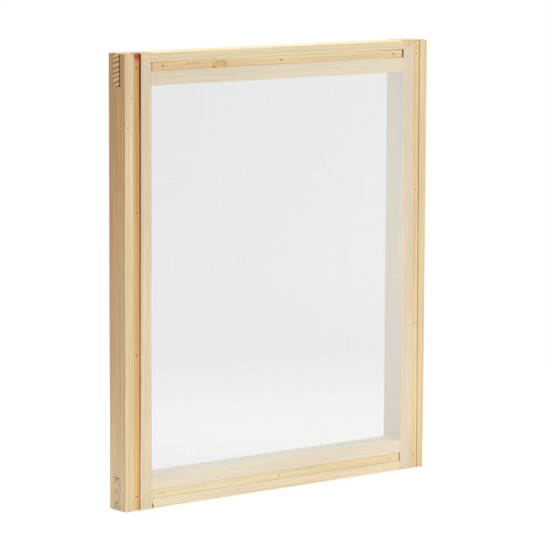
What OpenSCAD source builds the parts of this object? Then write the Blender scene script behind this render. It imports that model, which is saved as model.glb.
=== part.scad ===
// Screen printing frame: four softwood members joined at the corners by bridle joints,
// and a polyester mesh that thin battens and brads hold down in grooves in the print face.
// X runs across the frame, Y from the print face to the back face, and Z up.
// The origin is the middle of the bottom edge, halfway through the timber.

/* [Frame] */
// Overall width
frame_w = 360; // [240:5:600]
// Overall height
frame_h = 420; // [300:5:800]
// Depth of the timber, from print face to back face
timber_d = 25; // [24:1:40]
// Width of each stile and rail, from outer edge to opening
timber_w = 30; // [26:1:50]
// Chamfer along the outer arrises
arris = 0.5; // [0.2:0.1:2]

/* [Corner joints] */
// Thickness of the stile cheek in front of the tenon
front_cheek = 8; // [7.5:0.5:9]
// Thickness of the tenon on each rail end
tenon_t = 10; // [8:0.5:12]
// Glue line between the tenon and each cheek
glue_gap = 0.1; // [0.05:0.05:0.3]

/* [Batten grooves] */
// Plain strip between the outer edge and the groove
outer_strip = 9; // [6:0.5:12]
// Width of the groove
groove_w = 8; // [6:0.5:10]
// Depth of the groove
groove_d = 6.5; // [5:0.5:7]

/* [Mesh] */
// Thickness of the mesh
mesh_t = 0.15; // [0.1:0.05:0.3]
// Height of the mesh turned up against the outer groove wall
turn_up = 4; // [2:0.5:4.5]
// Bare timber beyond the mesh at the top and bottom of each stile
mesh_tail = 3; // [2:0.5:5]

/* [Battens] */
// Clearance between a batten and the mesh on each groove wall
batten_gap = 0.25; // [0.1:0.05:0.5]
// Depth of the stile battens below the print face
side_sink = 1; // [0:0.1:1.5]
// Depth of the rail battens below the print face
rail_sink = 0.2; // [0:0.1:1.5]
// Gap at each end of a rail batten
rail_end_gap = 1; // [0.5:0.5:3]
// Gap at each end of a stile batten
side_end_gap = 0.5; // [0:0.5:3]

/* [Brads] */
// Diameter of the shank
brad_d = 1.2; // [1:0.1:1.6]
// Length, with the head
brad_len = 15; // [12:1:17]
// Diameter of the head
brad_head_d = 1.8; // [1.7:0.1:2.4]
// Thickness of the head
brad_head_t = 0.6; // [0.4:0.1:1]
// Distance of the outermost brads from the stile end or the rail shoulder
brad_inset = 13; // [8:1:20]
// Brads along each stile batten
side_brad_count = 4; // [2:1:8]
// Brads along each rail batten
rail_brad_count = 3; // [2:1:7]

/* [Hidden] */

opening_w = frame_w - 2 * timber_w;
front_y = -timber_d / 2;
groove_in = outer_strip + groove_w;         // outer edge to the groove wall next to the opening
groove_mid = outer_strip + groove_w / 2;    // outer edge to the middle of the groove
batten_w = groove_w - 2 * (mesh_t + batten_gap);
mesh_w = frame_w - 2 * (groove_in - mesh_t);  // mesh across the face, over both inner ledges
cut = 1;                                    // how far a cutter passes the face it opens

timber_colour = "BurlyWood";
batten_colour = "Tan";
mesh_colour = "WhiteSmoke";
brad_colour = "DimGray";

// Member cross-section: first axis from outer edge to opening, second from print face to back
module timber_section() {
    polygon([
        [arris, 0], [outer_strip, 0], [outer_strip, groove_d], [groove_in, groove_d],
        [groove_in, 0], [timber_w, 0], [timber_w, timber_d], [arris, timber_d],
        [0, timber_d - arris], [0, arris]
    ]);
}

// Stands a cross-section up as the left stile's
module along_left_stile(length) {
    translate([-frame_w / 2, front_y, (frame_h - length) / 2])
        linear_extrude(length) children();
}

// Lays a cross-section down as the bottom rail's
module along_bottom_rail(length) {
    translate([length / 2, front_y, 0])
        rotate([0, -90, 0]) linear_extrude(length) children();
}

// Turns a left-hand piece into the right-hand one
module to_right() {
    mirror([1, 0, 0]) children();
}

// Turns a bottom piece into the top one
module to_top() {
    translate([0, 0, frame_h]) mirror([0, 0, 1]) children();
}

// Left stile with an open slot for a tenon at each end
module stile() {
    difference() {
        along_left_stile(frame_h) timber_section();
        tenon_slot();
        to_top() tenon_slot();
    }
}

module tenon_slot() {
    translate([-frame_w / 2 - cut, front_y + front_cheek - glue_gap, -cut])
        cube([timber_w + 2 * cut, tenon_t + 2 * glue_gap, timber_w + glue_gap + cut]);
}

// Bottom rail: a grooved middle between the stiles, and a tenon right through each stile
module rail() {
    along_bottom_rail(opening_w) timber_section();
    translate([-frame_w / 2, front_y + front_cheek, 0])
        cube([frame_w, tenon_t, timber_w]);
}

// Mesh cross-section down into a groove, across its floor and part way up the outer wall
module tuck_section() {
    polygon([
        [groove_in - mesh_t, -mesh_t], [groove_in - mesh_t, groove_d - mesh_t],
        [outer_strip + mesh_t, groove_d - mesh_t], [outer_strip + mesh_t, groove_d - turn_up],
        [outer_strip, groove_d - turn_up], [outer_strip, groove_d],
        [groove_in, groove_d], [groove_in, -mesh_t]
    ]);
}

// Mesh outline on the print face: it stops at the rail grooves between the stiles, and a
// slanting cut trims each corner on the stile ledges
module face_outline() {
    half_w = mesh_w / 2;
    edge = groove_in - mesh_t;
    polygon([
        [-half_w, mesh_tail], [-opening_w / 2, outer_strip], [-opening_w / 2, edge],
        [opening_w / 2, edge], [opening_w / 2, outer_strip], [half_w, mesh_tail],
        [half_w, frame_h - mesh_tail], [opening_w / 2, frame_h - outer_strip],
        [opening_w / 2, frame_h - edge], [-opening_w / 2, frame_h - edge],
        [-opening_w / 2, frame_h - outer_strip], [-half_w, frame_h - mesh_tail]
    ]);
}

module mesh_sheet() {
    side_length = frame_h - 2 * mesh_tail;
    rail_length = opening_w - 2 * batten_gap;
    translate([0, front_y, 0]) rotate([90, 0, 0])
        linear_extrude(mesh_t) face_outline();
    along_left_stile(side_length) tuck_section();
    to_right() along_left_stile(side_length) tuck_section();
    along_bottom_rail(rail_length) tuck_section();
    to_top() along_bottom_rail(rail_length) tuck_section();
}

// Batten cross-section, standing on the mesh on the groove floor
module batten_section(sink) {
    translate([groove_mid - batten_w / 2, sink])
        square([batten_w, groove_d - mesh_t - sink]);
}

module side_batten() {
    along_left_stile(frame_h - 2 * side_end_gap) batten_section(side_sink);
}

module rail_batten() {
    along_bottom_rail(opening_w - 2 * rail_end_gap) batten_section(rail_sink);
}

// One brad with its head at the origin, driven towards +Y
module brad() {
    rotate([-90, 0, 0]) {
        cylinder(d = brad_head_d, h = brad_head_t, $fn = 32);
        cylinder(d = brad_d, h = brad_len, $fn = 32);
    }
}

// Places of the brads: evenly spaced between two insets along a member of the given length
function brad_stations(length, count) =
    [for (i = [0 : count - 1])
        brad_inset + i * (length - 2 * brad_inset) / (count - 1)];

module side_brads() {
    for (z = brad_stations(frame_h, side_brad_count))
        translate([groove_mid - frame_w / 2, front_y + side_sink, z]) brad();
}

module rail_brads() {
    for (x = brad_stations(opening_w, rail_brad_count))
        translate([x - opening_w / 2, front_y + rail_sink, groove_mid]) brad();
}

module all_brads() {
    side_brads();
    to_right() side_brads();
    rail_brads();
    to_top() rail_brads();
}

// Any wooden piece or the mesh, with the holes that the brads make in it
module nailed() {
    difference() {
        children();
        all_brads();
    }
}

module left_stile() { color(timber_colour) nailed() stile(); }
module right_stile() { color(timber_colour) nailed() to_right() stile(); }
module top_rail() { color(timber_colour) nailed() to_top() rail(); }
module bottom_rail() { color(timber_colour) nailed() rail(); }
module screen_mesh() { color(mesh_colour) nailed() mesh_sheet(); }
module left_batten() { color(batten_colour) nailed() side_batten(); }
module right_batten() { color(batten_colour) nailed() to_right() side_batten(); }
module top_batten() { color(batten_colour) nailed() to_top() rail_batten(); }
module bottom_batten() { color(batten_colour) nailed() rail_batten(); }
module left_batten_brads() { color(brad_colour) side_brads(); }
module right_batten_brads() { color(brad_colour) to_right() side_brads(); }
module top_batten_brads() { color(brad_colour) to_top() rail_brads(); }
module bottom_batten_brads() { color(brad_colour) rail_brads(); }

left_stile();
right_stile();
top_rail();
bottom_rail();
screen_mesh();
left_batten();
right_batten();
top_batten();
bottom_batten();
left_batten_brads();
right_batten_brads();
top_batten_brads();
bottom_batten_brads();
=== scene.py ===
"""Screen printing frame: the looks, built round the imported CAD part.

Every visible piece is a mesh made here, in metres and in the part's own frame: X runs across the
frame, Y from the print face to the back, and Z up. A member's own coordinates are (u, v, w): u from
its outer edge towards the opening, v from the print face towards the back, and w along its grain.
"""

import math

import bmesh
import bpy
from mathutils import Matrix, Vector, noise


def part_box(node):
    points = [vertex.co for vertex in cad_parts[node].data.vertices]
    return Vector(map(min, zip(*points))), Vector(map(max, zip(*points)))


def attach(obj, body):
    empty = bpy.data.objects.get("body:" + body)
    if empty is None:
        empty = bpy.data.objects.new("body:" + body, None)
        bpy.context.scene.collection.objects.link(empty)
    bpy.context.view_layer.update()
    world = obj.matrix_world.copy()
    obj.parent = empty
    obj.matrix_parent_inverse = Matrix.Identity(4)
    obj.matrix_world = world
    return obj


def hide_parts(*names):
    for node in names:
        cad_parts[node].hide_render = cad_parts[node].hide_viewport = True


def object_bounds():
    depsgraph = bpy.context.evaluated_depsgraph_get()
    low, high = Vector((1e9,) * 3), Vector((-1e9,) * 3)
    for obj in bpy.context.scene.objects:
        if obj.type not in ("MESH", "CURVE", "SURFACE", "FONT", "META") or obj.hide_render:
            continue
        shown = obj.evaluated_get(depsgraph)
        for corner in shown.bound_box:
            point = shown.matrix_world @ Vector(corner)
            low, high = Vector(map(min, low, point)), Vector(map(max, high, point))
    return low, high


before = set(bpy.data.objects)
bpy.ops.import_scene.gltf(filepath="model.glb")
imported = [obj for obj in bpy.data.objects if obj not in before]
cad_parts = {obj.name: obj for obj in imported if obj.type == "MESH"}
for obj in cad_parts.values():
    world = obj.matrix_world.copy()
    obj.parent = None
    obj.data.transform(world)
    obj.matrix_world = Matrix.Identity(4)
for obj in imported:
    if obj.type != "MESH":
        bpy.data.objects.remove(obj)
cad_low, cad_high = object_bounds()

MM = 0.001

# ---------------------------------------------------------------- sizes, from the frame

stile_low, stile_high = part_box("left_stile")
mesh_low, mesh_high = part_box("screen_mesh")
batten_low, batten_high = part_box("left_batten")
brads_low, brads_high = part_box("left_batten_brads")

HALF_W = cad_high.x
HEIGHT = cad_high.z
FRONT = stile_low.y
DEPTH = stile_high.y - stile_low.y
WIDTH = stile_high.x - stile_low.x                  # of each stile and rail, on the print face
OPEN_X = HALF_W - WIDTH                             # half the width of the clear opening
STRIP = mesh_low.x + HALF_W                         # outer edge to the groove
GROOVE_W = batten_low.x + batten_high.x - 2 * mesh_low.x
GROOVE_IN = STRIP + GROOVE_W                        # outer edge to the groove wall by the opening
GROOVE_D = mesh_high.y - FRONT
TAIL = mesh_low.z                                   # bare timber past the cloth at a stile's end
BATTEN_FOOT = batten_high.y - FRONT                 # depth of a batten's back, on the cloth
BRAD_LENGTH = brads_high.y - brads_low.y
BRAD_INSET = (brads_low.z + HEIGHT - brads_high.z) / 2 + (brads_high.x - brads_low.x) / 2
FRONT_CHEEK = 8 * MM                                # stile timber in front of the tenon slot
TENON = 10 * MM
GLUE_GAP = 0.1 * MM                                 # glue line in front of a tenon and behind it

# How far each groove is off its line at the low or left end of its member and at the other end,
# away from the member's outer edge. The grooves were cut a little out of parallel.
DRIFT = {"left": (0.0, 1.4 * MM), "right": (-0.9 * MM, 0.5 * MM),
         "top": (-0.5 * MM, -1.1 * MM), "bottom": (0.0, 0.0)}


def length_of(side):
    """The length of a stile, or of a rail with its tenons."""
    return HEIGHT if side in ("left", "right") else 2 * HALF_W


def drift(side, w):
    """How far a side's groove is off its line at w."""
    begin, end = DRIFT[side]
    return begin + (end - begin) * w / length_of(side)


def middle_drift(side):
    return drift(side, length_of(side) / 2)


def groove_at_middle(side):
    """The places of a groove's two walls, halfway along its member."""
    return STRIP + middle_drift(side), GROOVE_IN + middle_drift(side)


def placing(u_axis, w_axis, origin):
    """The matrix that takes a member's (u, v, w) into the part's frame."""
    columns = [Vector(u_axis), Vector((0, 1, 0)), Vector(w_axis), Vector(origin)]
    return Matrix([[c[row] for c in columns] for row in range(3)] + [[0, 0, 0, 1]])


LEFT = placing((1, 0, 0), (0, 0, 1), (-HALF_W, FRONT, 0))
RIGHT = placing((-1, 0, 0), (0, 0, 1), (HALF_W, FRONT, 0))
BOTTOM = placing((0, 0, 1), (1, 0, 0), (-HALF_W, FRONT, 0))
TOP = placing((0, 0, -1), (1, 0, 0), (-HALF_W, FRONT, HEIGHT))

# ---------------------------------------------------------------- materials


class Graph:
    """Builds the nodes of one material. A value is a number, a vector or another node's socket."""

    def __init__(self, name):
        self.material = bpy.data.materials.new(name)
        self.material.use_nodes = True
        self.tree = self.material.node_tree
        self.tree.nodes.clear()

    def put(self, socket, value):
        if isinstance(value, bpy.types.NodeSocket):
            self.tree.links.new(value, socket)
        else:
            socket.default_value = value

    def node(self, kind, values=(), **settings):
        made = self.tree.nodes.new("ShaderNode" + kind)
        for setting, value in settings.items():
            setattr(made, setting, value)
        for key, value in dict(values).items():
            self.put(made.inputs[key], value)
        return made

    def math(self, operation, a, b=0.0):
        return self.node("Math", {0: a, 1: b}, operation=operation).outputs[0]

    def add(self, a, b):
        return self.math("ADD", a, b)

    def times(self, a, b):
        return self.math("MULTIPLY", a, b)

    def length(self, a, b):
        """The length of the vector (a, b)."""
        return self.math("SQRT", self.add(self.times(a, a), self.times(b, b)))

    def swing(self, factor, amount):
        """A factor from 0 to 1, centred on 0 and scaled."""
        return self.times(self.add(factor, -0.5), amount)

    def span(self, value, low, high, to_low=0.0, to_high=1.0):
        """value from low..high to to_low..to_high, clamped."""
        keys = {0: value, 1: low, 2: high, 3: to_low, 4: to_high}
        return self.node("MapRange", keys, clamp=True).outputs[0]

    def vector(self, x, y, z):
        return self.node("CombineXYZ", {0: x, 1: y, 2: z}).outputs[0]

    def grey(self, level):
        return self.vector(level, level, level)

    def parts(self, vector):
        return self.node("SeparateXYZ", {0: vector}).outputs

    def place(self):
        """The three parts of a point on the object, in metres."""
        return self.parts(self.node("TexCoord").outputs["Object"])

    def scaled(self, parts, factors):
        return self.vector(*[self.times(part, factor) for part, factor in zip(parts, factors)])

    def noise(self, place, detail=2.0, roughness=0.5):
        keys = {"Vector": place, "Scale": 1.0, "Detail": detail, "Roughness": roughness}
        return self.node("TexNoise", keys).outputs["Fac"]

    def noise_along(self, value, scale):
        keys = {"W": value, "Scale": scale, "Detail": 1.0}
        return self.node("TexNoise", keys, noise_dimensions="1D").outputs["Fac"]

    def ramp(self, factor, stops):
        """A smooth grey ramp through (place, level) stops."""
        made = self.node("ValToRGB", {0: factor})
        made.color_ramp.interpolation = "EASE"
        elements = made.color_ramp.elements
        while len(elements) < len(stops):
            elements.new(0.5)
        for element, (place, level) in zip(elements, stops):
            element.position = place
            element.color = (level, level, level, 1)
        return made.outputs[0]

    def mix(self, factor, a, b, blend="MIX"):
        keys = {0: factor, 6: a, 7: b}
        return self.node("Mix", keys, data_type="RGBA", blend_type=blend).outputs[2]

    def tinted(self, amount, colour, tint):
        """colour, multiplied by tint to the given amount."""
        return self.mix(amount, colour, tint, "MULTIPLY")

    def finish(self, colour, roughness, height, bump, **constants):
        """Ends in one Principled shader. The constants are set on its own sockets."""
        normal = self.node("Bump", {"Height": height, "Strength": bump, "Distance": 0.2 * MM})
        shader = self.node("BsdfPrincipled", {"Base Color": colour, "Roughness": roughness})
        self.put(shader.inputs["Normal"], normal.outputs[0])
        for key, value in constants.items():
            self.put(shader.inputs[key.replace("_", " ")], value)
        self.node("OutputMaterial", {"Surface": shader.outputs[0]})
        return self.material


def rgb(red, green, blue):
    return (red, green, blue, 1.0)


LEFT_EARLY, LEFT_LATE = rgb(0.825, 0.70, 0.46), rgb(0.66, 0.475, 0.25)
RIGHT_EARLY, RIGHT_LATE = rgb(0.78, 0.635, 0.39), rgb(0.63, 0.435, 0.215)
TOP_EARLY, TOP_LATE = rgb(0.825, 0.72, 0.49), rgb(0.70, 0.54, 0.315)
BOTTOM_EARLY, BOTTOM_LATE = rgb(0.845, 0.745, 0.54), rgb(0.80, 0.695, 0.50)
GOLD_EARLY, GOLD_LATE = rgb(0.80, 0.63, 0.36), rgb(0.63, 0.39, 0.165)
ORANGE_EARLY, ORANGE_LATE = rgb(0.80, 0.60, 0.285), rgb(0.58, 0.31, 0.115)
# Painted shade for the left stile's outer side: light low down, where the floor's bounce reaches, and
# deeper at the top
SIDE_SHADE_LOW, SIDE_SHADE_HIGH = rgb(0.895, 0.86, 0.81), rgb(0.805, 0.615, 0.43)
# Tints for the left batten's part by the opening: lighter low down, deeper orange-red above
ACROSS_TONE_LOW, ACROSS_TONE_HIGH = rgb(0.93, 0.82, 0.74), rgb(0.89, 0.66, 0.55)
# Red for the left batten's top end
RED_END_TINT = rgb(0.72, 0.24, 0.14)
KNOT = rgb(0.25, 0.095, 0.035)
PIN_KNOT = rgb(0.36, 0.22, 0.10)
GOLD_KNOT = rgb(0.77, 0.55, 0.20)
BROWN_KNOT = rgb(0.42, 0.22, 0.09)
RED_GRAIN = rgb(0.76, 0.55, 0.36)
WARM_PATCH = rgb(0.84, 0.64, 0.47)
RESIN_CANAL = rgb(0.42, 0.25, 0.12)
EDGE_LINE = rgb(0.62, 0.45, 0.30)
# Painted shade for the walls of a groove
GROOVE_SHADE = rgb(0.38, 0.09, 0.012)
GLUED_CHEEK = rgb(0.17, 0.06, 0.012)
GLUED_END = rgb(0.13, 0.045, 0.012)
RING_STOPS = [(0.0, 0.0), (0.45, 0.1), (0.78, 0.7), (0.93, 1.0), (1.0, 0.0)]
WEAKEST_YEAR = 0.4                                  # strength of its ring line, where the strongest has 1


class Pine(Graph):
    """Softwood as a solid: rings round a heart line that runs roughly along the member, so that the
    grain on the faces meets the rings on the end grain. a is the place across the member, y through it
    and w along it."""

    def __init__(self, name, along, seed):
        super().__init__(name)
        coordinates = self.node("TexCoord")
        x, self.y, z = self.parts(coordinates.outputs["Object"])
        self.a, self.w = (z, x) if along == "X" else (x, z)
        self.facing = self.parts(coordinates.outputs["Normal"])
        self.seed = seed
        self.fibre = self.texture(2300.0, 2300.0, 55.0, 3.0, 0.6)
        self.streak = self.texture(420.0, 420.0, 7.0)
        self.patch = self.texture(60.0, 60.0, 5.0)
        self.canal = self.texture(1500.0, 1500.0, 85.0, 1.0)
        self.pores = self.texture(2600.0, 2600.0, 300.0)

    def texture(self, a, y, w, detail=2.0, roughness=0.5):
        """Noise with this many cells per metre across the member, through it and along it."""
        return self.noise(self.scaled((self.a, self.y, self.w), (a, y, w)), detail, roughness)

    def off_heart(self, place, heart, lean, wander, phase):
        """How far a place is from the heart line, which leans along the grain and wanders."""
        spot = self.vector(self.add(self.times(self.a, 16.0), self.seed + phase),
                           self.times(self.y, 16.0), self.times(self.w, 3.2))
        wandering = self.swing(self.noise(spot, 1.0), 2 * wander)
        return self.add(self.add(place, wandering), self.add(self.times(self.w, -lean), -heart))

    def knotted(self, radius, knots):
        """The ring radius pushed aside by the knots, how much of a place is knot, and the knot's colour."""
        amount, colour = 0.0, KNOT
        for knot_a, knot_w, size_a, size_w, tone in knots:
            ka = self.times(self.add(self.a, -knot_a), 1 / size_a)
            kw = self.times(self.add(self.w, -knot_w), 1 / size_w)
            away = self.add(self.length(ka, kw), self.swing(self.texture(500.0, 120.0, 350.0), 0.5))
            push = self.math("EXPONENT", self.times(self.times(away, away), -0.22))
            radius = self.add(radius, self.times(push, 1.6 * size_a))
            here = self.span(away, 1.15, 0.7)
            circles = self.math("SINE", self.times(away, 14.0))
            ringed = self.mix(self.span(circles, -1.0, 1.0, 0.0, 0.2), tone, KNOT)
            colour = self.mix(here, colour, ringed)
            amount = self.math("MAXIMUM", amount, here)
        return radius, amount, colour

    def rings(self, radius, spacing, uneven):
        """How far through its year's ring a place is, from 0 to 1, and that year's strength."""
        years = self.noise_along(self.add(radius, self.seed), 110.0)
        count = self.add(self.times(radius, 1 / spacing), self.times(years, uneven))
        year = self.add(self.math("FLOOR", count), self.seed)
        strength = self.node("TexWhiteNoise", {"W": year}, noise_dimensions="1D").outputs["Value"]
        return self.math("FRACT", count), self.span(strength, 0.0, 1.0, WEAKEST_YEAR, 1.0)

    def planed(self, late_share, early, late, streaks):
        """The ring lines, with warmer patches, fibres, streaks and resin canals."""
        colour = self.mix(late_share, early, late)
        colour = self.tinted(self.span(self.patch, 0.35, 0.7, 0.0, 0.35), colour, WARM_PATCH)
        fibres = self.span(self.fibre, 0.25, 0.75, 0.9, 1.08)
        shade = self.add(fibres, self.span(self.streak, 0.25, 0.75, -streaks, streaks))
        colour = self.tinted(1.0, colour, self.grey(shade))
        return self.mix(self.span(self.canal, 0.72, 0.8, 0.0, 0.35), colour, RESIN_CANAL)

    def side_shaded(self, colour, low_tone, high_tone):
        """Painted shade on a left-hand outer side: a light tint at its bottom, where the floor's bounce
        lights it, growing to a deeper one at its top, with darker grain lines along it.
        """
        up = self.add(self.times(self.w, 1 / HEIGHT), self.swing(self.patch, 0.5))
        tone = self.mix(self.span(up, 0.1, 0.68), low_tone, high_tone)
        line = self.span(self.texture(300.0, 620.0, 3.5, 1.0), 0.35, 0.5, 1.0, 0.0)
        tone = self.mix(self.times(line, 0.75), tone, EDGE_LINE)
        # The painted shade goes only on faces turned to -X, away from the key light
        on_edge = self.span(self.facing[0], -0.55, -0.85)
        return self.mix(on_edge, colour, self.tinted(1.0, colour, tone))

    def tinted_along(self, colour, begin, full, tint):
        """Tints the member from begin, along its grain, with a ragged start."""
        reach = self.add(self.w, self.swing(self.streak, 2.0 * (full - begin)))
        return self.tinted(self.span(reach, begin, full), colour, tint)

    def two_toned_across(self, colour, begin, full, low_tint, high_tint):
        """Tints the member from begin, across its grain, with one tint low down and another above."""
        tint = self.mix(self.span(self.w, 0.12, 0.36), low_tint, high_tint)
        reach = self.add(self.a, self.swing(self.texture(220.0, 220.0, 9.0), 3 * MM))
        return self.tinted(self.span(reach, begin, full), colour, tint)

    def groove_shaded(self, colour, low, high):
        """Paints shade on the walls of a groove between two places across the member, where little light
        reaches, most of all at the top.
        """
        between = self.times(self.span(self.a, low - 0.5 * MM, low - 0.3 * MM),
                             self.span(self.a, high + 0.5 * MM, high + 0.3 * MM))
        deep = self.times(self.span(self.y, FRONT + 0.1 * MM, FRONT + 0.6 * MM),
                          self.span(self.y, FRONT + GROOVE_D + 1.0 * MM, FRONT + GROOVE_D))
        upwards = self.span(self.w, 0.06, 0.33, 0.6, 0.95)
        return self.mix(self.times(self.times(between, deep), upwards), colour, GROOVE_SHADE)

    def end_bands(self, part, share):
        """The dark bands of the end grain, each a share of its ring."""
        begin = 0.9 - share
        full = begin + 0.45 * share
        return self.ramp(part, [(0.0, 0.0), (begin, 0.04), (full, 0.85), (0.92, 1.0), (1.0, 0.0)])

    def end_grain(self, bands, strength, light, dark):
        """Light wood with the dark bands, as strong as their years, and its pores."""
        strong = self.span(strength, WEAKEST_YEAR, 1.0, 0.75, 1.0)
        colour = self.mix(self.times(bands, strong), light, dark)
        return self.tinted(1.0, colour, self.grey(self.span(self.pores, 0.2, 0.8, 0.82, 1.1)))

    def glued_cheek(self, colour):
        """Dark glue on the front of a tenon, past the rail's shoulders."""
        tenon = self.span(self.math("ABSOLUTE", self.w), OPEN_X + 0.6 * MM, OPEN_X + 1.2 * MM)
        cheek = self.span(self.y, FRONT + FRONT_CHEEK + 0.4 * MM, FRONT + FRONT_CHEEK + 0.1 * MM)
        return self.mix(self.times(self.times(tenon, cheek), 0.95), colour, GLUED_CHEEK)

    def glued_end(self, colour, bands, deep):
        """Glue soaked into a tenon's end grain, this deep from its front and deeper in the dark bands."""
        edge = self.add(self.y, self.times(self.add(self.pores, self.times(bands, -1.0)), 0.6 * MM))
        soaked = self.span(edge, FRONT + FRONT_CHEEK + deep, FRONT + FRONT_CHEEK + 0.4 * deep)
        return self.mix(self.times(soaked, 0.9), colour, GLUED_END)


def pine(name, along, heart, spacing, early, late, contrast=0.6, wander=3 * MM, lean=(0.0, 0.0),
         squash=1.0, knots=(), end_tones=(rgb(0.80, 0.54, 0.30), rgb(0.30, 0.145, 0.06)), end_share=0.45,
         uneven=1.4, side_shades=None, stains=(), resin=None, glue=0.0, groove_shade=None, streaks=0.08, seed=0.0):
    """A softwood material. along is the world axis of the grain, and heart the place of the ring centre
    across the member and through it. squash below 1 draws the rings out across the member. knots are
    (across, along, half-width across, half-width along, colour). end_tones are the light and the dark of
    the end grain, and end_share the dark part of a ring there. uneven is how much the rings' spacing
    varies, and streaks how much the tone varies across the grain. side_shades, stains, resin, scorch and
    glue are the arguments of side_shaded, stained, resinous, scorched and glued_end."""
    g = Pine(name, along, seed)
    across = g.times(g.off_heart(g.a, heart[0], lean[0], wander, 0.0), squash)
    through = g.off_heart(g.y, heart[1], lean[1], wander, 9.0)
    radius, knot_wood, knot_colour = g.knotted(g.length(across, through), knots)
    part, strength = g.rings(radius, spacing, uneven)
    late_share = g.times(g.times(g.ramp(part, RING_STOPS), strength), contrast)

    colour = g.mix(knot_wood, g.planed(late_share, early, late, streaks), knot_colour)
    if side_shades:
        colour = g.side_shaded(colour, *side_shades)
    for stain in stains:
        colour = g.tinted_along(colour, *stain)
    if resin:
        colour = g.two_toned_across(colour, *resin)
    if groove_shade:
        colour = g.groove_shaded(colour, *groove_shade)

    bands = g.end_bands(part, end_share)
    end_colour = g.end_grain(bands, strength, *end_tones)
    if glue:
        colour = g.glued_cheek(colour)
        end_colour = g.glued_end(end_colour, bands, glue)
    on_end = g.span(g.math("ABSOLUTE", g.facing[0] if along == "X" else g.facing[2]), 0.6, 0.85)
    colour = g.mix(on_end, colour, end_colour)

    roughness = g.add(g.span(g.fibre, 0.2, 0.8, 0.68, 0.52), g.times(late_share, -0.12))
    height = g.add(g.times(g.fibre, 0.6), g.add(g.times(late_share, 0.35), g.times(g.canal, -0.3)))
    height = g.add(height, g.times(on_end, g.times(g.pores, 0.8)))
    return g.finish(colour, roughness, height, 0.35, Specular_IOR_Level=0.3)


def open_mesh():
    """White monofilament weave: threads at their real pitch over a share of open holes. Where it lies on
    timber the wood shows through more, and most of all in the grooves."""
    g = Graph("screen_mesh")
    x, y, z = g.place()
    pitch = 0.28 * MM                               # between threads
    blur = 0.4 * MM                                 # half the width of the change at the opening's edge

    def thread(value, other, phase):
        wobble = g.noise(g.vector(g.times(value, 180.0), g.times(other, 25.0), phase))
        swing = g.math("COSINE", g.add(g.times(value, 2 * math.pi / pitch), g.times(wobble, 2.4)))
        return g.span(swing, -0.35, 0.55)

    def within(value, limit):
        return g.span(g.math("ABSOLUTE", value), limit - blur, limit + blur, 1.0, 0.0)

    warp, weft = thread(x, z, 3.0), thread(z, x, 7.0)
    cover = g.math("MAXIMUM", warp, weft)
    slub = g.add(g.noise(g.vector(g.times(x, 2600.0), g.times(z, 12.0), 1.0)),
                 g.noise(g.vector(g.times(x, 12.0), g.times(z, 2600.0), 5.0)))
    inside = g.times(within(x, OPEN_X), within(g.add(z, -HEIGHT / 2), HEIGHT / 2 - WIDTH))

    on_timber = g.span(x, -OPEN_X, -OPEN_X + 25 * MM, 0.13, 0.23)
    base = g.span(inside, 0.0, 1.0, on_timber, 0.59)
    alpha = g.add(g.times(cover, 0.10), g.add(base, g.times(g.add(slub, -1.0), 0.05)))
    tucked = g.span(y, FRONT + 0.2 * MM, FRONT + 0.8 * MM)
    alpha = g.mix(tucked, g.grey(alpha), rgb(0.02, 0.02, 0.02))

    # The floor lights the lower part more, so the sheet itself is darker there
    evened = g.span(z, 0.12 * HEIGHT, 0.5 * HEIGHT, 0.655, 0.72)
    over_opening = g.vector(evened, g.times(evened, 1.01), g.times(evened, 1.02))
    lying = g.span(x, -OPEN_X - 0.5 * MM, -OPEN_X + 0.5 * MM, 0.84, 0.96)
    white = g.mix(inside, g.vector(lying, lying, g.times(lying, 0.98)), over_opening)
    colour = g.tinted(1.0, white, g.grey(g.span(slub, 0.6, 1.4, 0.97, 1.03)))
    height = g.add(warp, g.times(weft, 0.8))
    return g.finish(colour, 0.42, height, 0.1, Alpha=alpha, Specular_IOR_Level=0.35)


def steel():
    """Dull wire with patches of rust."""
    g = Graph("brad_steel")
    rust = g.noise(g.scaled(g.place(), (900.0, 900.0, 900.0)), 3.0)
    colour = g.mix(g.span(rust, 0.45, 0.65), rgb(0.03, 0.022, 0.017), rgb(0.02, 0.009, 0.005))
    roughness = g.span(rust, 0.3, 0.7, 0.45, 0.8)
    return g.finish(colour, roughness, rust, 0.2, Metallic=0.5, Specular_IOR_Level=0.2)


# ---------------------------------------------------------------- shaping


def cell_solid(us, vs, ws, filled):
    """A closed bmesh of the cells between these planes whose middles are filled(u, v, w)."""
    planes = (us, vs, ws)
    bm = bmesh.new()
    corners = {}

    def corner(index):
        if index not in corners:
            corners[index] = bm.verts.new([planes[n][index[n]] for n in range(3)])
        return corners[index]

    cells = {
        (i, j, k)
        for i in range(len(us) - 1) for j in range(len(vs) - 1) for k in range(len(ws) - 1)
        if filled((us[i] + us[i + 1]) / 2, (vs[j] + vs[j + 1]) / 2, (ws[k] + ws[k + 1]) / 2)
    }
    for cell in sorted(cells):
        for axis in range(3):
            for side in (0, 1):
                beside = list(cell)
                beside[axis] += 2 * side - 1
                if tuple(beside) in cells:
                    continue
                loop = []
                for first, second in ((0, 0), (1, 0), (1, 1), (0, 1)):
                    index = list(cell)
                    index[axis] += side
                    index[(axis + 1) % 3] += first
                    index[(axis + 2) % 3] += second
                    loop.append(corner(tuple(index)))
                bm.faces.new(loop if side else loop[::-1])
    return bm


def steps(low, high, pitch):
    """Even steps from low to high, each about one pitch long."""
    count = max(1, round((high - low) / pitch))
    return [low + (high - low) * n / count for n in range(count + 1)]


def smooth(low, high, value):
    """0 at low and 1 at high, with an easy start and end. low may be the greater."""
    t = min(1.0, max(0.0, (value - low) / (high - low)))
    return t * t * (3 - 2 * t)


def wave(w, seed, pitch):
    """A smooth random value from about -1 to 1, changing over the given pitch."""
    return noise.noise(Vector((w / pitch, seed, 0.5 * seed)))


WIDEST_EASE = 1.4 * MM
NEAR = 0.1 * MM                                     # closer places than this are on the same plane


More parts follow.
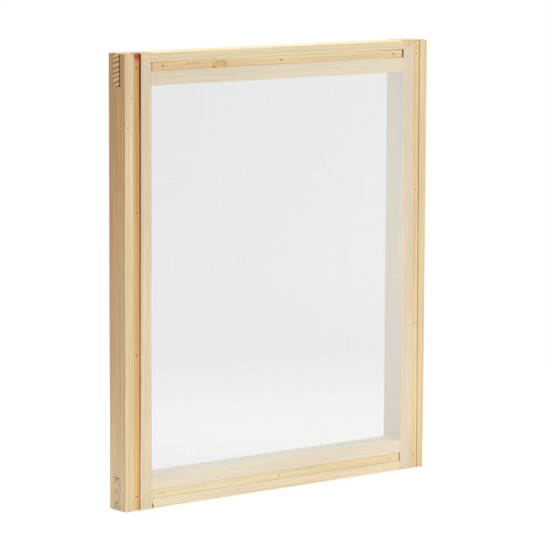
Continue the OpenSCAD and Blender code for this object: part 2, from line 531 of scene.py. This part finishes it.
def eased(bm, radius_at):
    """Marks each sharp edge for rounding to radius_at(middle, direction)."""
    weights = bm.edges.layers.float.new("bevel_weight_edge")
    bm.normal_update()
    for edge in bm.edges:
        if edge.calc_face_angle(0.0) > 0.5:
            a, b = (v.co for v in edge.verts)
            edge[weights] = min(1.0, radius_at((a + b) / 2, (b - a).normalized()) / WIDEST_EASE)


def evaluated(obj):
    """Applies obj's modifiers to its mesh."""
    bpy.context.view_layer.update()
    shaped = obj.evaluated_get(bpy.context.evaluated_depsgraph_get())
    obj.data = bpy.data.meshes.new_from_object(shaped)
    obj.modifiers.clear()


def as_object(name, bm):
    """The bmesh as a linked object. The bmesh is freed."""
    mesh = bpy.data.meshes.new(name)
    bm.to_mesh(mesh)
    bm.free()
    obj = bpy.data.objects.new(name, mesh)
    bpy.context.scene.collection.objects.link(obj)
    return obj


def rounded(obj):
    """Rounds the marked edges."""
    bevel = obj.modifiers.new("ease", "BEVEL")
    bevel.limit_method = "WEIGHT"
    bevel.width = WIDEST_EASE
    bevel.segments = 3
    bevel.use_clamp_overlap = True
    evaluated(obj)


def reshaped(obj, shift):
    """Moves each vertex by shift(its place)."""
    for vertex in obj.data.vertices:
        vertex.co += shift(vertex.co.copy())


def placed(obj, matrix):
    """Takes a piece from its member's coordinates to the part's."""
    obj.data.transform(matrix)
    if matrix.determinant() < 0:
        obj.data.flip_normals()


def shaded(obj, material):
    """Smooth shading over gentle angles, with flat faces kept flat beside their rounded edges."""
    obj.data.materials.clear()
    obj.data.materials.append(material)
    obj.data.shade_smooth()
    obj.data.set_sharp_from_angle(angle=math.radians(35))
    normals = obj.modifiers.new("normals", "WEIGHTED_NORMAL")
    normals.keep_sharp = True


def joined(obj, node):
    """Puts a finished piece in the model in place of its CAD node."""
    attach(obj, "root")
    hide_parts(node)


# ---------------------------------------------------------------- stiles and rails

W_PITCH = 4 * MM                                    # between the cuts across a member
SLOT_PAST = (0.6 * MM, 0.2 * MM)                    # slot past the tenon's inner edge, bottom and top
TENON_SHORT = 0.15 * MM                             # tenon end below the stile's outer face


def timber_warp(side, seed):
    """Planed softwood is a little bowed and uneven. The groove leans with its drift."""
    groove_middle = sum(groove_at_middle(side)) / 2

    def shift(p):
        moved = Vector((0.16 * wave(p.z, seed, 0.14), 0.14 * wave(p.z, seed + 5, 0.17), 0)) * MM
        by_groove = smooth(GROOVE_W / 2 + 3 * MM, GROOVE_W / 2 + 1 * MM, abs(p.x - groove_middle))
        moved.x += (drift(side, p.z) - middle_drift(side)) * by_groove
        ripple = noise.noise(Vector((p.x / 0.012 + seed, p.y / 0.012, p.z / 0.03)))
        return moved + Vector((0.03, 0.04, 0)) * ripple * MM
    return shift


def timber_ease(length):
    """Edge radii of a member: full on the outer arrises, less by the opening and on the end grain."""
    def radius(middle, direction):
        u, v, w = middle
        on_face = v < NEAR or v > DEPTH - NEAR
        if abs(direction.z) > 0.9:
            if u < NEAR and on_face:
                return 1.0 * MM
            if u > WIDTH - NEAR and on_face:
                return 0.45 * MM if WIDTH < w < length - WIDTH else 0.12 * MM
            return 0.25 * MM if v < NEAR else 0.0
        if w < NEAR or w > length - NEAR:
            return 0.4 * MM if abs(direction.y) > 0.9 and u < NEAR else 0.25 * MM
        return 0.0
    return radius


def stile(side, place, material, seed, glue_lines=(GLUE_GAP, GLUE_GAP)):
    """Full-height member with a groove down its print face and an open tenon slot at each end.
    glue_lines are the gaps in front of the bottom and the top tenon."""
    name = side + "_stile"
    groove = groove_at_middle(side)
    fronts = [FRONT_CHEEK - gap for gap in glue_lines]
    back = FRONT_CHEEK + TENON + GLUE_GAP
    slots = (WIDTH + SLOT_PAST[0], HEIGHT - WIDTH - SLOT_PAST[1])

    def filled(u, v, w):
        in_groove = groove[0] < u < groove[1] and v < GROOVE_D
        low_slot = w < slots[0] and fronts[0] < v < back
        top_slot = w > slots[1] and fronts[1] < v < back
        return not in_groove and not low_slot and not top_slot

    ws = [*steps(0, slots[0], W_PITCH)[:-1], *steps(*slots, W_PITCH)[:-1],
          *steps(slots[1], HEIGHT, W_PITCH)]
    vs = sorted({0, GROOVE_D, *fronts, back, DEPTH})
    bm = cell_solid([0, *groove, WIDTH], vs, ws, filled)
    eased(bm, timber_ease(HEIGHT))
    obj = as_object(name + "_timber", bm)
    rounded(obj)
    reshaped(obj, timber_warp(side, seed))
    placed(obj, place)
    shaded(obj, material)
    joined(obj, name)


def rail(side, place, material, seed, chip=0.0):
    """Member between the stiles, grooved between its shoulders, with a tenon through each stile.
    chip is how far the left shoulder has broken away at the outer edge."""
    name = side + "_rail"
    groove = groove_at_middle(side)
    length = length_of(side)
    shoulders = (WIDTH, length - WIDTH)

    def filled(u, v, w):
        if shoulders[0] < w < shoulders[1]:
            return not (groove[0] < u < groove[1] and v < GROOVE_D)
        return FRONT_CHEEK < v < FRONT_CHEEK + TENON

    ws = [*steps(TENON_SHORT, shoulders[0], W_PITCH), *steps(*shoulders, W_PITCH)[1:-1],
          *steps(shoulders[1], length - TENON_SHORT, W_PITCH)]
    us = [0, 2 * MM, 4 * MM, 6 * MM, *groove, WIDTH]        # the first ones let the chip curve
    vs = [0, 3 * MM, GROOVE_D, FRONT_CHEEK, FRONT_CHEEK + TENON, DEPTH]
    bm = cell_solid(us, vs, ws, filled)
    between_shoulders = timber_ease(length)

    def radius(middle, direction):
        if shoulders[0] + NEAR < middle.z < shoulders[1] - NEAR:
            return between_shoulders(middle, direction)
        return 0.15 * MM if any(abs(middle.z - shoulder) < NEAR for shoulder in shoulders) else 0.0

    eased(bm, radius)
    obj = as_object(name + "_timber", bm)
    rounded(obj)
    warp = timber_warp(side, seed)

    def shift(p):
        broken = chip * smooth(7.5 * MM, 1 * MM, p.x) * smooth(10 * MM, 4 * MM, p.y)
        broken *= smooth(shoulders[0] + 3 * MM, shoulders[0], p.z) * (p.z > shoulders[0] - 0.5 * MM)
        held = smooth(0, WIDTH, min(p.z, length - p.z))
        return warp(p) * held + Vector((0, 0, broken))

    reshaped(obj, shift)
    placed(obj, place)
    shaded(obj, material)
    joined(obj, name)


# ---------------------------------------------------------------- battens and brads

PUNCHED = 0.8 * MM                                  # depth of a brad's head below the batten's face


def brad_stations(start, end, count):
    """Where a batten's brads are along its member: evenly spaced, with an inset from each end."""
    low, high = start + BRAD_INSET, end - BRAD_INSET
    return [low + (high - low) * n / (count - 1) for n in range(count)]


def dented(obj, places, radius):
    """Sinks a dent into a batten's face at each of these places, with a boolean cut."""
    bm = bmesh.new()
    turn = Matrix.Rotation(math.pi / 2, 4, "X")
    for place in places:
        bmesh.ops.create_cone(bm, cap_ends=True, segments=20, radius1=radius, radius2=1.05 * radius,
                              depth=3.0 * MM, matrix=Matrix.Translation(place) @ turn)
    cutter = as_object(obj.name + "_holes", bm)
    cut = obj.modifiers.new("holes", "BOOLEAN")
    cut.object = cutter
    cut.operation = "DIFFERENCE"
    cut.solver = "EXACT"
    evaluated(obj)
    bpy.data.objects.remove(cutter)


def batten(side, place, material, ends, edges, sink, seed, corners, stations, hole):
    """A strip in a groove, sunk below the print face. ends are where it begins and stops, edges(w) the
    places of its two long edges across the groove, corners the radii at its two ends, and hole the
    radius of the dent over each brad."""
    name = side + "_batten"
    half = GROOVE_W / 2
    bm = cell_solid([-half, half], [sink, BATTEN_FOOT], steps(*ends, 3 * MM), lambda u, v, w: True)

    def radius(middle, direction):
        if abs(direction.y) > 0.9:
            return corners[0] if middle.z < (ends[0] + ends[1]) / 2 else corners[1]
        return 0.3 * MM if middle.y < BATTEN_FOOT - NEAR else 0.15 * MM

    eased(bm, radius)
    obj = as_object(name + "_strip", bm)
    rounded(obj)

    def shift(p):
        low, high = edges(p.z)
        across = (low + high) / 2 + p.x * (high - low) / GROOVE_W - p.x
        across += 0.06 * MM * wave(p.z, seed, 0.03)
        deep = 0.12 * MM * wave(p.z, seed + 3, 0.08) * smooth(BATTEN_FOOT, sink, p.y)
        return Vector((across, deep, 0))

    reshaped(obj, shift)
    dented(obj, [(sum(edges(w)) / 2, sink, w) for w in stations], hole)
    placed(obj, place)
    shaded(obj, material)
    joined(obj, name)


def brads(side, place, material, sink, stations, edges):
    """Headed wire nails, punched below the batten's face. They lean a little."""
    name = side + "_batten_brads"
    bm = bmesh.new()
    long = BRAD_LENGTH / MM
    profile = [(0.0, 0.0), (0.4, 0.02), (0.5, 0.08), (0.58, 0.2), (0.58, 0.5), (0.54, 0.7),
               (0.54, long - 1.2), (0.0, long)]     # radius and depth in mm, from the head to the point
    sides = 20
    turns = [2 * math.pi * n / sides for n in range(sides)]
    for w in stations:
        tilt = Vector((0.03 * wave(w, 2.0, 0.01), 1, 0.03 * wave(w, 7.0, 0.01))).normalized()
        middle = Vector((sum(edges(w)) / 2, sink + PUNCHED, w))
        rings = []
        for radius, deep in profile:
            centre = middle + tilt * deep * MM
            if radius == 0:
                rings.append([bm.verts.new(centre)] * sides)
            else:
                rings.append([bm.verts.new(centre + Vector((math.cos(t), 0, math.sin(t))) * radius * MM)
                              for t in turns])
        for upper, lower in zip(rings, rings[1:]):
            for n in range(sides):
                corners = [upper[n], upper[n - 1], lower[n - 1], lower[n]]
                bm.faces.new(list(dict.fromkeys(corners)))
    bmesh.ops.recalc_face_normals(bm, faces=bm.faces)
    obj = as_object(name + "_steel", bm)
    placed(obj, place)
    shaded(obj, material)
    joined(obj, name)


# ---------------------------------------------------------------- screen mesh

CLOTH_PROUD = 0.1 * MM                              # cloth above the timber that it lies on
CLOTH_PITCH = 6 * MM
LEDGE_PITCH = 3 * MM
TAIL_ROWS = 4                                       # rows on a stile ledge past the rail's groove
TURN_TOP = 3.0 * MM                                 # depth at which the cloth ends on a far groove wall
# From the frame's end to the cloth's slanting cut on a stile ledge, by the opening and by the groove
TOP_CUT = (8.5 * MM, TAIL)
BOTTOM_CUT = (1.5 * MM, 1.05 * MM)


def cloth_relief(x, z):
    """Nearly flat: faint ripples from the pull of each batten."""
    ripple = noise.noise(Vector((x / 0.05, z / 0.07, 3.0))) + noise.noise(Vector((x / 0.02, z / 0.02, 8.0)))
    from_stile, from_rail = OPEN_X - abs(x), HEIGHT / 2 - WIDTH - abs(z - HEIGHT / 2)
    return 0.12 * MM * ripple * smooth(0, 25 * MM, from_stile) * smooth(0, 25 * MM, from_rail)


def ledge(side):
    """The width of the timber between a groove and the opening, halfway along the member."""
    return WIDTH - groove_at_middle(side)[1]


def with_grooves(x, z):
    """Slides a place on a ledge so that the sheet's edges keep to the leaning grooves."""
    side = "left" if x < 0 else "right"
    out = max(0.0, (abs(x) - OPEN_X) / ledge(side))
    slide_x = math.copysign(drift(side, z) - middle_drift(side), -x) * out
    side = "bottom" if z < HEIGHT / 2 else "top"
    past = abs(z - HEIGHT / 2) - (HEIGHT / 2 - WIDTH)
    out = min(1.0, max(0.0, past / ledge(side)))
    slide_z = math.copysign(drift(side, x + HALF_W) - middle_drift(side), HEIGHT / 2 - z) * out
    return x + slide_x, z + slide_z


def tucked(bm, edge_line, outwards):
    """Carries the sheet on from a line of its corners: down a groove's near wall, across its floor under
    the batten and part way up its far wall."""
    far, floor = GROOVE_W / MM - 0.15, GROOVE_D / MM - 0.1
    profile = [(0.10, -0.04), (0.14, 0.2), (0.14, floor - 0.2), (0.4, floor),
               (far - 0.3, floor), (far, floor - 0.3), (far, TURN_TOP / MM)]    # out and deep, in mm
    before = edge_line
    for out, deep in profile:
        after = [bm.verts.new(Vector((v.co.x, FRONT + deep * MM, v.co.z)) + Vector(outwards) * out * MM)
                 for v in edge_line]
        for n in range(len(after) - 1):
            bm.faces.new([before[n], after[n], after[n + 1], before[n + 1]])
        before = after


def slanting(cut, share):
    """Where a slanting cut is, at a share of the way from the opening to the groove."""
    return cut[0] + (cut[1] - cut[0]) * share


def screen():
    """One sheet: flat over the opening and the inner ledges, and tucked into a groove on every side. A
    slanting cut trims each corner."""
    bm = bmesh.new()
    on_left = steps(groove_at_middle("left")[1] - HALF_W, -OPEN_X, LEDGE_PITCH)
    on_right = steps(OPEN_X, HALF_W - groove_at_middle("right")[1], LEDGE_PITCH)
    xs = on_left[:-1] + steps(-OPEN_X, OPEN_X, CLOTH_PITCH) + on_right[1:]
    low, high = groove_at_middle("bottom")[1], HEIGHT - groove_at_middle("top")[1]
    zs = steps(low, high, CLOTH_PITCH)
    columns = len(on_left) - 1
    last = len(xs) - 1
    grid = {}

    def height_of(i, j):
        """The z of a row, which depends on the column beyond the rail grooves."""
        share = (abs(xs[i]) - OPEN_X) / (HALF_W - GROOVE_IN - OPEN_X)
        if j < 0:
            return low + (slanting(BOTTOM_CUT, share) - low) * -j / TAIL_ROWS
        if j >= len(zs):
            return high + (HEIGHT - slanting(TOP_CUT, share) - high) * (j - len(zs) + 1) / TAIL_ROWS
        return zs[j]

    def corner(i, j):
        """Column i and row j. Rows below 0 and past the last are on the stile ledges only."""
        if (i, j) not in grid:
            x, z = with_grooves(xs[i], height_of(i, j))
            grid[i, j] = bm.verts.new((x, FRONT - CLOTH_PROUD + cloth_relief(x, z), z))
        return grid[i, j]

    for i in range(last):
        on_ledge = i < columns or i >= last - columns
        rows = range(-TAIL_ROWS, len(zs) + TAIL_ROWS - 1) if on_ledge else range(len(zs) - 1)
        for j in rows:
            bm.faces.new([corner(i, j), corner(i + 1, j), corner(i + 1, j + 1), corner(i, j + 1)])

    all_rows = range(-TAIL_ROWS, len(zs) + TAIL_ROWS)
    tucked(bm, [corner(0, j) for j in all_rows], (-1, 0, 0))
    tucked(bm, [corner(last, j) for j in all_rows], (1, 0, 0))
    over_opening = range(columns, last - columns + 1)
    tucked(bm, [corner(i, 0) for i in over_opening], (0, 0, -1))
    tucked(bm, [corner(i, len(zs) - 1) for i in over_opening], (0, 0, 1))
    bmesh.ops.recalc_face_normals(bm, faces=bm.faces)
    obj = as_object("screen_mesh_cloth", bm)
    obj.data.materials.append(open_mesh())
    obj.data.shade_smooth()
    joined(obj, "screen_mesh")
    return obj


# ---------------------------------------------------------------- the frame's pieces

# The left stile's colour carries painted shade on its outer side and on its groove's walls
left_wood = pine("pine_left_stile", "Z", (-0.215, -0.045), 2.6 * MM, LEFT_EARLY, LEFT_LATE,
                 contrast=0.7, lean=(0.01, 0.02), streaks=0.11, seed=1.3, side_shades=(SIDE_SHADE_LOW, SIDE_SHADE_HIGH),
                 # painted shade on the walls of its groove
                 groove_shade=(STRIP - HALF_W, GROOVE_IN + 1.5 * MM - HALF_W),
                 knots=[(-0.1723, 0.3791, 0.5 * MM, 0.9 * MM, PIN_KNOT),
                        (-0.1766, 0.353, 0.5 * MM, 0.9 * MM, PIN_KNOT)])
right_wood = pine("pine_right_stile", "Z", (0.235, 0.035), 3.4 * MM, RIGHT_EARLY, RIGHT_LATE,
                  streaks=0.1, seed=4.1)
top_wood = pine("pine_top_rail", "X", (0.348, -0.0165), 4.25 * MM, TOP_EARLY, TOP_LATE,
                wander=1.2 * MM, uneven=0.35, glue=1.3 * MM, seed=7.7)
bottom_wood = pine("pine_bottom_rail", "X", (-0.012, 0.001), 2.3 * MM, BOTTOM_EARLY, BOTTOM_LATE,
                   wander=2 * MM, squash=0.22, lean=(0.012, 0.0), seed=2.9,
                   end_tones=(rgb(0.68, 0.52, 0.315), rgb(0.38, 0.25, 0.15)), end_share=0.25)

stile("left", LEFT, left_wood, seed=1.0, glue_lines=(0.15 * MM, 1.2 * MM))
stile("right", RIGHT, right_wood, seed=2.0)
rail("top", TOP, top_wood, seed=3.0)
rail("bottom", BOTTOM, bottom_wood, seed=4.0, chip=2.0 * MM)


def even(gap):
    return lambda w: gap


def left_gap(w):
    """This batten's edge by the opening was planed back in two places, so its gap widens upwards."""
    return (0.17 + 0.28 * smooth(0.12, 0.26, w) + 0.8 * smooth(0.335, 0.375, w)) * MM


def top_gap(w):
    return (0.05 + 0.4 * smooth(0.29, 0.32, w)) * MM


def right_gap(w):
    return (0.12 + 0.42 * smooth(0.03, 0.2, w)) * MM


def right_inner_gap(w):
    return (0.1 + 0.25 * smooth(0.07, 0.03, w) + 0.2 * smooth(0.3, 0.36, w)) * MM


steel_wire = steel()
side_stations = brad_stations(0, HEIGHT, 4)
rail_stations = brad_stations(WIDTH, 2 * HALF_W - WIDTH, 3)


def fit_batten(number, side, slot, gaps, end_gaps, sink, hole, corners=(0.4 * MM, 0.4 * MM), **look):
    """Makes a batten and its brads. number keeps its random draws apart from those of the others. gaps
    are the outer and the inner gap to the groove's walls, as functions of w, end_gaps the gaps at its
    two ends, and look the arguments of its wood."""
    if side in ("left", "right"):
        place, along, start, stations = {"left": LEFT, "right": RIGHT}[side], "Z", 0, side_stations
    else:
        place, along, start, stations = {"top": TOP, "bottom": BOTTOM}[side], "X", WIDTH, rail_stations

    def edges(w):
        return STRIP + drift(side, w) + gaps[0](w), GROOVE_IN + drift(side, w) - gaps[1](w)

    ends = (start + end_gaps[0], length_of(side) - start - end_gaps[1])
    wood = pine(f"pine_{side}_batten", along, spacing=2.4 * MM, seed=11.0 + 3 * number, **look)
    batten(side, place, wood, ends, edges, sink, 21.0 + number, corners, stations, hole)
    brads(side, place, steel_wire, sink, stations, edges)


fit_batten(0, "left", "dark_batten", gaps=(even(0.2 * MM), left_gap), end_gaps=(0.5 * MM, 0.5 * MM),
           sink=1.0 * MM, hole=0.68 * MM,
           heart=(-0.19, -0.03), early=ORANGE_EARLY, late=ORANGE_LATE, contrast=0.9, streaks=0.14,
           # its part by the opening is tinted deeper orange-red above, and less so low down
           resin=(-0.1675, -0.1645, ACROSS_TONE_LOW, ACROSS_TONE_HIGH),
           # its upper part is tinted a little darker, and its top end red
           stains=[(0.14, 0.30, rgb(0.93, 0.86, 0.78)), (0.412, 0.4165, RED_END_TINT)])
fit_batten(1, "right", "batten", gaps=(right_gap, right_inner_gap), end_gaps=(0.5 * MM, 0.5 * MM),
           sink=0.5 * MM, hole=0.62 * MM,
           heart=(0.19, 0.03), early=GOLD_EARLY, late=GOLD_LATE,
           knots=[(0.1643, 0.4178, 1.0 * MM, 1.3 * MM, GOLD_KNOT)])
fit_batten(2, "top", "batten", gaps=(top_gap, even(0.04 * MM)), end_gaps=(0.8 * MM, 2.2 * MM),
           sink=0.15 * MM, hole=0.82 * MM, corners=(1.3 * MM, 0.4 * MM),
           heart=(0.43, 0.02), early=rgb(0.83, 0.69, 0.425), late=GOLD_LATE,
           stains=[(0.0, -0.06, rgb(0.99, 0.94, 0.88))],
           knots=[(0.4032, -0.0718, 7.0 * MM, 8.6 * MM, GOLD_KNOT),
                  (0.4040, -0.0790, 1.2 * MM, 2.2 * MM, BROWN_KNOT),
                  (0.4088, -0.1030, 0.9 * MM, 7.5 * MM, RED_GRAIN)])
fit_batten(3, "bottom", "batten", gaps=(even(0.12 * MM), even(0.2 * MM)), end_gaps=(0.3 * MM, 1 * MM),
           sink=0.2 * MM, hole=0.62 * MM,
           heart=(0.05, 0.02), early=rgb(0.84, 0.725, 0.465), late=rgb(0.70, 0.49, 0.25))

cloth = screen()

# ---------------------------------------------------------------- studio

FLOOR_RADIUS = 14.0
FLOOR_DROP = 0.2 * MM                               # floor below the frame's foot
# Each pair is what the camera sees, and what lights the object
FLOOR_PAPER = (0.7, 0.8)                            # how much the floor reflects
FLOOR_GLOW = (0.44, 0.3)
BEYOND_GLOW = (1.0, 0.3)
FADE_BEGIN = (0.3, 0.5)                             # where the floor starts to fade, from its middle
FADE_FULL = (0.8, 1.8)


def camera_only(g, seen, lighting):
    """One value for what the camera sees, and another for the light that is passed on."""
    camera_ray = g.node("LightPath").outputs["Is Camera Ray"]
    return g.span(camera_ray, 0.0, 1.0, lighting, seen)


def floor():
    """A white floor. It is lit round the object, and fades into the white surroundings beyond."""
    bm = bmesh.new()
    bmesh.ops.create_circle(bm, cap_ends=True, segments=96, radius=FLOOR_RADIUS)
    obj = as_object("studio_floor", bm)
    obj.location.z = -FLOOR_DROP
    g = Graph("studio_floor")
    x, y, _ = g.place()
    lit = g.node("BsdfDiffuse", {"Color": g.grey(camera_only(g, *FLOOR_PAPER))})
    glow = g.node("Emission", {"Color": rgb(1, 1, 1), "Strength": camera_only(g, *FLOOR_GLOW)})
    paper = g.node("AddShader", {0: lit.outputs[0], 1: glow.outputs[0]})
    white = g.node("Emission", {"Color": rgb(1, 1, 1), "Strength": camera_only(g, *BEYOND_GLOW)})
    fade = g.span(g.length(x, y), camera_only(g, *FADE_BEGIN), camera_only(g, *FADE_FULL))
    blend = g.node("MixShader", {0: fade, 1: paper.outputs[0], 2: white.outputs[0]})
    g.node("OutputMaterial", {"Surface": blend.outputs[0]})
    obj.data.materials.append(g.material)


def area_light(name, place, aim, size, power, tint=(1.0, 1.0, 1.0)):
    """A soft rectangular light, turned on aim."""
    data = bpy.data.lights.new(name, "AREA")
    data.shape = "RECTANGLE"
    data.size, data.size_y = size
    data.energy = power
    data.color = tint
    obj = bpy.data.objects.new(name, data)
    obj.location = place
    obj.rotation_euler = (Vector(aim) - Vector(place)).to_track_quat("-Z", "Y").to_euler()
    bpy.context.scene.collection.objects.link(obj)


def surroundings(seen, lighting):
    """A white world: its brightness as seen, and as it lights the object."""
    world = bpy.data.worlds.new("studio")
    bpy.context.scene.world = world
    world.use_nodes = True
    tree = world.node_tree
    tree.nodes.clear()
    path = tree.nodes.new("ShaderNodeLightPath")
    strength = tree.nodes.new("ShaderNodeMapRange")
    strength.inputs[3].default_value = lighting
    strength.inputs[4].default_value = seen
    background = tree.nodes.new("ShaderNodeBackground")
    background.inputs["Color"].default_value = rgb(1, 1, 1)
    output = tree.nodes.new("ShaderNodeOutputWorld")
    tree.links.new(path.outputs["Is Camera Ray"], strength.inputs[0])
    tree.links.new(strength.outputs[0], background.inputs["Strength"])
    tree.links.new(background.outputs[0], output.inputs["Surface"])


def camera(aim, azimuth, elevation, roll, distance, lens):
    """A long lens turned on aim; azimuth 0 looks along +Y."""
    data = bpy.data.cameras.new("camera")
    data.lens = lens
    data.clip_end = 60.0
    obj = bpy.data.objects.new("camera", data)
    a, e = math.radians(azimuth), math.radians(elevation)
    back = Vector((math.sin(a) * math.cos(e), -math.cos(a) * math.cos(e), math.sin(e)))
    obj.location = aim + back * distance
    turn = (-back).to_track_quat("-Z", "Y") @ Matrix.Rotation(math.radians(roll), 4, "Z").to_quaternion()
    obj.rotation_mode = "QUATERNION"
    obj.rotation_quaternion = turn
    bpy.context.scene.collection.objects.link(obj)
    bpy.context.scene.camera = obj


floor()
surroundings(seen=1.0, lighting=0.56)
area_light("top_softbox", (0.0, 0.7, 1.6), (0, 0, 0.1), (1.4, 1.4), 17.0)
area_light("key_softbox", (1.1, -1.5, 1.1), (0, 0, 0.35), (1.2, 1.2), 17.5, (1.0, 0.99, 0.97))
area_light("back_softbox", (-0.9, 1.3, 0.5), (0, 0, 0.2), (1.0, 1.0), 2.0, (1.0, 0.97, 0.92))

centre = (cad_low + cad_high) / 2                   # the view was fitted to the frame's outer corners
camera(centre + Vector((3.1, 0, -6.7)) * MM, azimuth=-38.255, elevation=7.891, roll=0.249,
       distance=3.0014, lens=207.63)
bpy.context.scene.view_settings.view_transform = "Standard"
